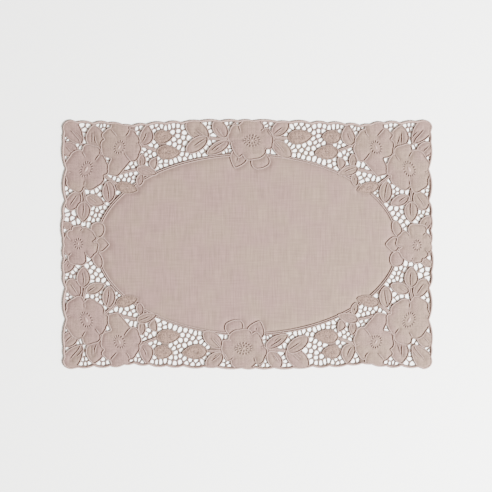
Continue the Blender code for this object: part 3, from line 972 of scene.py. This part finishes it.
def mixed(material, share, first, second):
    """A colour between two others, and the second one where the share is 1."""
    mix = node(material, "Mix", share, data_type="RGBA")
    for entry, colour in zip(MIX_COLOURS, (first, second)):
        give(material, mix, entry, colour)
    return mix, MIXED_COLOUR


def scaled(material, colour, lightness):
    """The colour made darker or lighter by a number."""
    return node(material, "VectorMath", colour, operation="SCALE", Scale=lightness), "Vector"


# Colours of the cloth, with what changes them
MAUVE = (0.158, 0.097, 0.084, 1)
TAUPE = (0.158, 0.106, 0.081, 1)
STITCHED_BROWN = (0.127, 0.080, 0.061, 1)
PATCH_SCALE = 26.0  # patches of mauve and taupe to a metre
PATCH_EDGES = (0.38, 0.62)  # between these values of their noise, mauve turns to taupe
DRIFT_REACH = 0.2  # metres from the middle, over which the mat grows browner to its right
DRIFT_SHARE = 0.25  # of the way from mauve to taupe
SLUBS = (((620.0, 40.0, 1.0), 0.14), ((40.0, 620.0, 1.0), 0.09))  # (slubs to a metre, depth)
DOT_DEPTHS = (("motif", 0.2), ("stitched", 0.5))  # (where, how dark the small stitches are)
DOT_SCATTER = 0.7
# Painted shade (valley, eyelet, net) and darker motifs, as (where, share of the colour's lightness that
# is left there)
SHADES = (("valley", 0.78), ("motif", 0.93), ("eyelet", 0.12), ("net", 0.65))

# Its relief, in metres
STITCH_PERIOD = 0.0017
STITCH_SCATTER = 0.35
STITCH_DEPTH = 0.00035
WEAVE_PERIOD = 0.0009  # between two threads
WEAVE_DEPTH = 0.00005


def stitch_dots(material, place, scatter):
    """Small stitches all over the cloth: 0 in their middles, and about 1 between them."""
    dots = node(material, "TexVoronoi", Vector=place, Scale=1 / STITCH_PERIOD, Randomness=scatter)
    return dots, "Distance"


def dotted(material, colour, dots, mark, depth):
    """The colour with darker dots where a mark of the mesh is 1."""
    lightness = ranged(material, dots, (0.1, 0.6), (-depth, depth / 2))
    here = node(material, "Math", lightness, mark_of(material, mark), 1.0, operation="MULTIPLY_ADD")
    return scaled(material, colour, (here, "Value"))


def cloth_material():
    """Fine taupe cloth, a little mauve in places, with painted shade in its valleys, eyelets and net."""
    material, shader = shader_of(
        "taupe_cloth", Roughness=0.85, Specular_IOR_Level=0.2, Sheen_Weight=0.12, Sheen_Roughness=0.5
    )
    place = (node(material, "TexCoord"), "Object")
    patches = node(material, "TexNoise", Vector=place, Scale=PATCH_SCALE, Detail=3.0)
    tint = ranged(material, (patches, "Fac"), PATCH_EDGES)
    axes = node(material, "SeparateXYZ", place)
    drift = ranged(material, (axes, "X"), (-DRIFT_REACH, DRIFT_REACH), (-DRIFT_SHARE, DRIFT_SHARE))
    browner = node(material, "Math", tint, drift, operation="ADD")
    base = mixed(material, (browner, "Value"), MAUVE, TAUPE)
    stitched = mark_of(material, "stitched")
    shaded = mixed(material, stitched, base, STITCHED_BROWN)
    for to_a_metre, depth in SLUBS:
        stretch = node(material, "Mapping", Vector=place, Scale=to_a_metre)
        slub = node(material, "TexNoise", Vector=(stretch, "Vector"), Scale=1.0, Detail=2.0)
        lightness = ranged(material, (slub, "Fac"), (0.3, 0.7), (1 - depth, 1 + depth))
        shaded = scaled(material, shaded, lightness)
    dots = stitch_dots(material, place, DOT_SCATTER)
    for mark, depth in DOT_DEPTHS:
        shaded = dotted(material, shaded, dots, mark, depth)
    for mark, share_left in SHADES:
        lightness = ranged(material, mark_of(material, mark), (0.0, 1.0), (1.0, share_left))
        shaded = scaled(material, shaded, lightness)
    give(material, shader, "Base Color", shaded)
    give(material, shader, "Normal", cloth_relief(material, place, stitched))
    return material


def cloth_relief(material, place, stitched):
    """A plain weave, with rows of stitches over it in the almond leaves."""
    threads = []
    for direction in ("X", "Y"):
        thread = node(
            material,
            "TexWave",
            bands_direction=direction,
            Vector=place,
            Scale=math.pi / 10 / WEAVE_PERIOD,
            Distortion=0.6,
            Detail_Scale=0.4,
        )
        threads.append((thread, "Fac"))
    crossing = node(material, "Math", *threads, operation="MAXIMUM")
    weave = node(material, "Bump", Strength=0.7, Distance=WEAVE_DEPTH, Height=(crossing, "Value"))
    dots = stitch_dots(material, place, STITCH_SCATTER)
    worked = node(material, "Math", dots, stitched, operation="MULTIPLY")
    stitches = node(material, "Bump", Strength=0.8, Distance=STITCH_DEPTH, Height=(worked, "Value"))
    give(material, stitches, "Normal", (weave, "Normal"))
    return stitches, "Normal"


def store(piece, name, values):
    """Keeps one number for each point of a piece's mesh, for its material to read."""
    attribute = piece.data.attributes.new(name, "FLOAT", "POINT")
    attribute.data.foreach_set("value", np.asarray(values, np.float32))


cloth_points_mm, cloth_faces, cloth_marks, plan_area = cloth_mesh()
cloth = new_piece("mat_cloth", cloth_points_mm, cloth_faces, cloth_material())
for mark_name, mark in cloth_marks.items():
    store(cloth, mark_name, mark)
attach(cloth, "root")
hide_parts("lace_mat")

# The cords. Each petal, leaf and stem, and the oval, is edged with a thread laid on the
# cloth and worked over closely with fine stitches, so that it stands up as a round cord.
# Rows are (piece, kind of line, thread, half width, foot, crest, length of its tapers).
CORD_PIECES = (
    ("petal_cords", "flower", "worked_cord", 0.66, 0.8, 2.1, 0.0),
    ("leaf_cords", "leaf", "worked_cord", 0.66, 0.8, 2.1, 0.0),
    ("leaf_rims", "rim", "worked_rim", 0.45, 0.7, 1.75, 0.0),
    ("stem_cords", "stem", "worked_cord", 0.6, 0.8, 2.0, 1.5),
    ("petal_folds", "fold", "worked_cord", 0.62, 1.0, 2.15, 3.0),
    ("leaf_veins", "vein", "worked_cord", 0.52, 1.1, 2.08, 4.0),
    ("oval_ring", "ring", "worked_cord", 0.62, 0.7, 2.15, 0.0),
)
CORD_WOBBLE = 0.1  # how uneven a cord is, as a share of its width and height
WOBBLE_LENGTH = 3.0
END_SHARE = 0.2  # how full a tapered cord still is at its ends
CORD_SIDES = (0.0, 36.0, 72.0, 108.0, 144.0, 180.0)  # degrees over the cord

# Threads, as (first colour, second colour, mixed in patches)
THREADS = {
    "worked_cord": ((0.200, 0.127, 0.109, 1), (0.229, 0.155, 0.129, 1)),
    "worked_rim": ((0.150, 0.095, 0.077, 1), (0.165, 0.108, 0.084, 1)),
}
THREAD_PATCH_SCALE = 60.0  # patches to a metre
CORD_STITCH_PERIOD = 0.45  # millimetres along the cord
CORD_STITCH_DEPTH = 0.00008  # metres


def cord_body(line, closed, half, foot, crest, taper):
    """Points and faces of one cord that lies on the cloth, with each point's way along it."""
    count = len(line)
    along = way_along(line)
    thin = np.ones(count)
    if not closed and taper:
        to_end = np.minimum(along, along[-1] - along)
        thin = np.clip(to_end / taper, 0, 1) ** 0.5
    wobble = 1 + CORD_WOBBLE * unevenness(line, WOBBLE_LENGTH)
    full = (END_SHARE + (1 - END_SHARE) * thin) * wobble
    outwards = beside(line, 1.0, closed) - line
    rings = []
    for side in CORD_SIDES:
        angle = math.radians(side)
        places = line + outwards * (half * full * math.cos(angle))[:, None]
        heights = foot + (crest - foot) * full * math.sin(angle)
        rings.append(np.column_stack((places, heights)))
    points = np.stack(rings, axis=1).reshape(-1, 3)
    sides = len(CORD_SIDES)
    faces = []
    for step in range(count if closed else count - 1):
        here, after = step * sides, (step + 1) % count * sides
        for side in range(sides):
            beyond = (side + 1) % sides
            faces.append((here + side, here + beyond, after + beyond, after + side))
    if not closed:
        faces += [tuple(range(sides)), tuple(range((count - 1) * sides, count * sides))]
    return points, faces, np.repeat(along, sides)


def cord_piece(name, lines, material, half, foot, crest, taper=0.0):
    """One piece of all the cords of one kind."""
    points, faces, alongs = [], [], []
    first = 0
    for line, closed in lines:
        body, body_faces, along = cord_body(line, closed, half, foot, crest, taper)
        points.append(body)
        alongs.append(along)
        faces += [tuple(first + corner for corner in face) for face in body_faces]
        first += len(body)
    piece = new_piece(name, np.vstack(points), faces, material)
    store(piece, "along", np.concatenate(alongs))
    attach(piece, "root")
    return piece


def thread_material(name, first_colour, second_colour):
    """Thread worked closely over a cord: fine stitches across it, and a soft sheen."""
    material, shader = shader_of(
        name, Roughness=0.7, Specular_IOR_Level=0.3, Sheen_Weight=0.15, Sheen_Roughness=0.4
    )
    place = (node(material, "TexCoord"), "Object")
    patches = node(material, "TexNoise", Vector=place, Scale=THREAD_PATCH_SCALE)
    colour = mixed(material, (patches, "Fac"), first_colour, second_colour)
    turn = 2 * math.pi / CORD_STITCH_PERIOD
    turns = node(material, "Math", mark_of(material, "along"), turn, operation="MULTIPLY")
    stitch = node(material, "Math", (turns, "Value"), operation="SINE")
    bump = node(material, "Bump", Strength=0.6, Distance=CORD_STITCH_DEPTH, Height=(stitch, "Value"))
    give(material, shader, "Base Color", colour)
    give(material, shader, "Normal", (bump, "Normal"))
    return material


threads = {name: thread_material(name, *colours) for name, colours in THREADS.items()}
cord_pieces = [
    cord_piece(name, cords[kind], threads[thread], *sizes)
    for name, kind, thread, *sizes in CORD_PIECES
]

# The hearts of the flowers. Small knots of thread stand round a padded oval, each drawn
# through the petals' cloth.
HEART_FOOT = 1.2
HEART_RISE = 1.3
STROKE_HALF_LENGTH = 1.4
STROKE_HALF_WIDTH = 0.6
STROKE_RISE = 1.1
STROKE_OUT = 1.08  # how far out the strokes stand, as a share of the ring of eyelets


def half_dome(half_length, half_width, rise):
    """A smooth oval mound that stands on z = 0, closed underneath."""
    bpy.ops.mesh.primitive_uv_sphere_add(segments=12, ring_count=8, radius=MM)
    mound = bpy.context.object
    bpy.ops.object.mode_set(mode="EDIT")
    bpy.ops.mesh.select_all(action="SELECT")
    bpy.ops.mesh.bisect(plane_co=(0, 0, 0), plane_no=(0, 0, 1), clear_inner=True, use_fill=True)
    bpy.ops.mesh.select_all(action="SELECT")
    bpy.ops.transform.resize(value=(half_length, half_width, rise))
    bpy.ops.mesh.normals_make_consistent(inside=False)
    bpy.ops.object.mode_set(mode="OBJECT")
    bpy.ops.object.shade_smooth_by_angle(angle=math.radians(60))
    mound.select_set(False)
    return mound


def set_down(mound, place, turn):
    """A copy of a mound with a mesh of its own, turned and set down on the cloth."""
    copy = mound.copy()
    copy.data = mound.data.copy()
    spot = Matrix.Translation((place[0] * MM, place[1] * MM, HEART_FOOT * MM))
    copy.data.transform(spot @ Matrix.Rotation(turn, 4, "Z"))
    bpy.context.scene.collection.objects.link(copy)
    return copy


stroke = half_dome(STROKE_HALF_LENGTH, STROKE_HALF_WIDTH, STROKE_RISE)
padded = half_dome(1.0, 1.0, HEART_RISE)
mounds = []
for signs, row in heart_rows():
    for half_length, half_width, count, phase in row[5]:
        between = (half_length, half_width, count, phase + 0.5)
        for place, outwards in heart_ring(signs, row, between, STROKE_OUT):
            mounds.append(set_down(stroke, place, outwards))
    lean = math.radians(row[2]) * signs[0] * signs[1]
    heart = set_down(padded, (0, 0), 0)
    heart.data.transform(Matrix.Diagonal((row[3], row[4], 1, 1)))
    centre = placed(row[:2], signs) * MM
    heart.data.transform(Matrix.Translation((*centre, 0)) @ Matrix.Rotation(lean, 4, "Z"))
    mounds.append(heart)
for model in (stroke, padded):
    bpy.data.objects.remove(model)
for mound in mounds:
    mound.select_set(True)
bpy.context.view_layer.objects.active = mounds[0]
bpy.ops.object.join()
hearts = mounds[0]
hearts.name = "flower_hearts"
hearts.select_set(False)
hearts.data.materials.append(threads["worked_cord"])
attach(hearts, "root")

# The scalloped edge. A wider padded cord, worked over with close stitches, is all that
# holds the rim of the mat.
EDGE_OVERHANG = 0.1  # how far the cord reaches past the cloth
EDGE_FOOT = 0.3
EDGE_CREST = 2.0

edge_route = beside(edge_line, EDGE_CORD_HALF - EDGE_OVERHANG, closed=True)
edge_cord = cord_piece(
    "scalloped_edge", [(edge_route, True)], threads["worked_cord"], EDGE_CORD_HALF, EDGE_FOOT, EDGE_CREST
)

# The table top: a plain pale sheet under the mat, with soft light over it from the right.
# The lights are square, and rows are (name, place, size, power, colour).
TABLE_SIZE = 8.0
TABLE_COLOUR = (0.86, 0.86, 0.84, 1)
LIGHTS = (
    ("key_light", (2.4, -1.1, 1.85), 0.6, 830.0, (0.97, 0.99, 1.0)),
    ("low_light", (2.6, -0.5, 0.9), 1.2, 110.0, (1.0, 0.99, 1.0)),
)
ROOM_COLOUR = (1.0, 0.89, 0.80, 1)
ROOM_STRENGTH = 0.8

bpy.ops.mesh.primitive_plane_add(size=TABLE_SIZE)
table = bpy.context.object
table.name = "table_top"
table_paint, _ = shader_of("pale_table", Base_Color=TABLE_COLOUR, Roughness=0.9)
table.data.materials.append(table_paint)

for name, place, size, power, colour in LIGHTS:
    light = bpy.data.lights.new(name, "AREA")
    light.size = size
    light.energy = power
    light.color = colour
    lamp = bpy.data.objects.new(name, light)
    lamp.location = place
    lamp.rotation_mode = "QUATERNION"
    lamp.rotation_quaternion = (-Vector(place)).to_track_quat("-Z", "Y")
    bpy.context.scene.collection.objects.link(lamp)

world = bpy.data.worlds.new("soft_room")
world.use_nodes = True
world.node_tree.nodes["Background"].inputs["Color"].default_value = ROOM_COLOUR
world.node_tree.nodes["Background"].inputs["Strength"].default_value = ROOM_STRENGTH
bpy.context.scene.world = world

# The camera looks straight down on the table, as the photograph does. It hangs as high
# as makes its view as wide as the ground round the mat there, in metres.
VIEW_WIDTH = 0.5948
VIEW_MIDDLE = (-0.0018, -0.0019)  # the mat lies a little up and right of the middle
LENS = 85.0
SENSOR = 36.0

camera_data = bpy.data.cameras.new("camera")
camera_data.lens = LENS
camera_data.sensor_width = SENSOR
camera = bpy.data.objects.new("camera", camera_data)
camera.location = (*VIEW_MIDDLE, VIEW_WIDTH * LENS / SENSOR)
bpy.context.scene.collection.objects.link(camera)
bpy.context.scene.camera = camera
